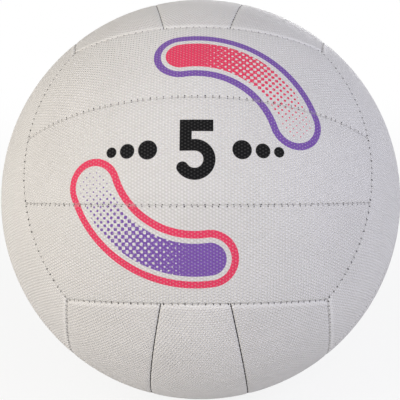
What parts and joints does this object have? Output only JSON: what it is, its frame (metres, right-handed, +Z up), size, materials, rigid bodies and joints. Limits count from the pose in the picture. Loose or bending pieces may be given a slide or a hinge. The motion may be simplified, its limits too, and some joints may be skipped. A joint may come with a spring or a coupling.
{
  "type": "netball",
  "caption": "Inflated netball with a sewn strip-panel grip cover on cloth backings, a bladder inside and a pull-out needle valve core.",
  "frame": {"origin": "centre of the ball", "axes": "+Z up, the printed front face looks towards -Y and is rolled back 30 degrees about X, the valve is on the top face, which is tipped back towards +Y by the same angle"},
  "size_m": [0.2228, 0.2228, 0.2228],
  "materials": {
    "grip_cover": "matte, fine pimpled grip",
    "backing": "woven cloth plies",
    "thread": "twisted polyester sewing thread",
    "bladder": "smooth butyl",
    "valve_boot": "satin moulded rubber",
    "valve_core": "satin moulded rubber"
  },
  "bodies": {
    "ball": {"cover_front_upper": "grip_cover", "cover_front_middle": "grip_cover", "cover_front_lower": "grip_cover", "cover_back_upper": "grip_cover", "cover_back_middle": "grip_cover", "cover_back_lower": "grip_cover", "cover_left_rear": "grip_cover", "cover_left_middle": "grip_cover", "cover_left_fore": "grip_cover", "cover_right_rear": "grip_cover", "cover_right_middle": "grip_cover", "cover_right_fore": "grip_cover", "cover_top_right": "grip_cover", "cover_top_middle": "grip_cover", "cover_top_left": "grip_cover", "cover_bottom_right": "grip_cover", "cover_bottom_middle": "grip_cover", "cover_bottom_left": "grip_cover", "backing_front_upper": "backing", "backing_front_middle": "backing", "backing_front_lower": "backing", "backing_back_upper": "backing", "backing_back_middle": "backing", "backing_back_lower": "backing", "backing_left_rear": "backing", "backing_left_middle": "backing", "backing_left_fore": "backing", "backing_right_rear": "backing", "backing_right_middle": "backing", "backing_right_fore": "backing", "backing_top_right": "backing", "backing_top_middle": "backing", "backing_top_left": "backing", "backing_bottom_right": "backing", "backing_bottom_middle": "backing", "backing_bottom_left": "backing", "thread_front_strips": "thread", "thread_front_right": "thread", "thread_front_left": "thread", "thread_back_strips": "thread", "thread_back_left": "thread", "thread_back_right": "thread", "thread_left_strips": "thread", "thread_left_top": "thread", "thread_left_bottom": "thread", "thread_right_strips": "thread", "thread_right_bottom": "thread", "thread_right_top": "thread", "thread_top_strips": "thread", "thread_top_front": "thread", "thread_top_back": "thread", "thread_bottom_strips": "thread", "thread_bottom_back": "thread", "thread_bottom_front": "thread", "bladder": "bladder", "valve_boot": "valve_boot"},
    "core": {"valve_core": "valve_core"}
  },
  "joints": [
    {"name": "core_pull", "type": "slide", "parent": "ball", "child": "core", "axis": [0, 0.5, 0.866], "range_m": [0, 0.025]}
  ]
}
